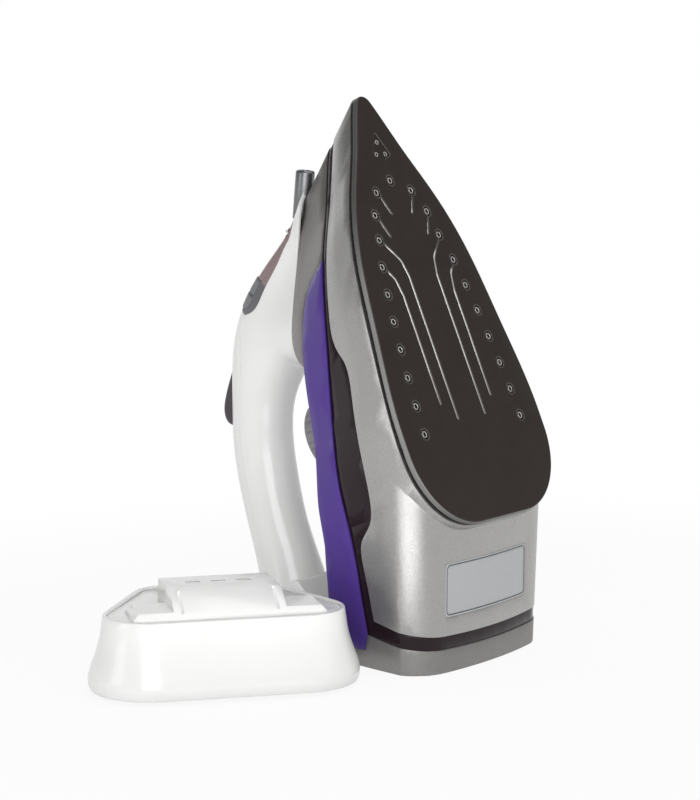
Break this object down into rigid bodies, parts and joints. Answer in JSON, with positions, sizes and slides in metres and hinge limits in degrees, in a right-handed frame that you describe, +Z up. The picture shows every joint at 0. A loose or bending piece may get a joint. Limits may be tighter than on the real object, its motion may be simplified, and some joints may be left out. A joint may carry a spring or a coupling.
{
  "type": "clothes iron",
  "caption": "Cordless steam iron standing on its heel with a dark steam-hole sole, silver skirt, violet trim and white loop handle, beside its white power base",
  "frame": {"origin": "on the foot of the heel, on the mid plane of the iron, at the surface that it stands on", "axes": "+Z up; the sole faces -Y and leans back, the handle is on the +Y side; +X to the right as seen facing the sole"},
  "size_m": [0.2313, 0.1686, 0.2682],
  "materials": {
    "sole_coating": "satin ceramic coating",
    "cast_aluminium": "as cast",
    "steel": "plain",
    "brass": "plain",
    "ceramic_white": "plain moulded",
    "silver_shell": "silver metallic paint",
    "plate_film": "blank film",
    "smoke_tank": "dark translucent",
    "violet_trim": "gloss",
    "control_grey": "fine texture",
    "lead_sleeve": "glass fibre sleeve",
    "white_shell": "gloss",
    "smoke_lid": "translucent gloss",
    "silicone": "plain",
    "lamp_lens": "clear tint",
    "lever_plastic": "gloss",
    "dial_grey": "satin",
    "nozzle_silver": "silver metallic paint",
    "button_grey": "satin",
    "rubber": "plain"
  },
  "bodies": {
    "iron": {"soleplate": "sole_coating", "heater_casting": "cast_aluminium", "heating_element": "steel", "chamber_cover": "cast_aluminium", "heat_shield": "steel", "sole_screws": "steel", "thermostat": "steel", "thermal_fuse": "ceramic_white", "drip_valve": "brass", "skirt_shell": "silver_shell", "rating_plate": "plate_film", "water_tank": "smoke_tank", "heel_band": "smoke_tank", "trim_left": "violet_trim", "trim_right": "violet_trim", "front_cover": "silver_shell", "deck_cover": "silver_shell", "heel_cap": "silver_shell", "contact_block": "control_grey", "heel_contacts": "brass", "power_leads": "lead_sleeve", "handle_upper": "white_shell", "handle_lower": "white_shell", "heel_bridge": "white_shell", "control_bezel": "control_grey", "lid_pin": "steel", "filler_throat": "control_grey", "fill_tube": "silicone", "pump_block": "ceramic_white", "pilot_lens": "lamp_lens", "lever_pin": "steel", "spray_nozzle": "nozzle_silver", "nozzle_insert": "brass"},
    "spray_button": {"spray_button": "button_grey", "spray_plunger": "ceramic_white"},
    "steam_button": {"steam_button": "button_grey", "steam_plunger": "ceramic_white"},
    "steam_lever": {"steam_lever": "lever_plastic"},
    "temperature_dial": {"temperature_dial": "dial_grey", "dial_shaft": "steel"},
    "filler_lid": {"filler_lid": "smoke_lid"},
    "power_base": {"base_shell": "white_shell", "base_bottom": "white_shell", "base_feet": "rubber", "base_deck": "white_shell", "docking_pad": "white_shell", "contact_carrier": "control_grey", "dock_contacts": "brass", "cord_gland": "rubber"}
  },
  "joints": [
    {"name": "spray_press", "type": "slide", "parent": "iron", "child": "spray_button", "axis": [0, -0.8442, -0.536], "range_m": [0, 0.003], "stiffness_N_per_m": 600},
    {"name": "steam_press", "type": "slide", "parent": "iron", "child": "steam_button", "axis": [0, -0.8442, -0.536], "range_m": [0, 0.003], "stiffness_N_per_m": 600},
    {"name": "lever_press", "type": "hinge", "parent": "iron", "child": "steam_lever", "pos_m": [0, 0.12421, 0.14274], "axis": [-1, 0, 0], "range_deg": [0, 5], "stiffness_Nm_per_rad": 3},
    {"name": "dial_turn", "type": "hinge", "parent": "iron", "child": "temperature_dial", "pos_m": [0, 0.06088, 0.10481], "axis": [0, 0.9174, -0.3979], "range_deg": [0, 270]},
    {"name": "lid_open", "type": "hinge", "parent": "iron", "child": "filler_lid", "pos_m": [0, 0.0958, 0.20153], "axis": [1, 0, 0], "range_deg": [0, 100]},
    {"name": "base_away", "type": "slide", "parent": "iron", "child": "power_base", "axis": [-1, 0, 0], "range_m": [0, 0.25]}
  ]
}
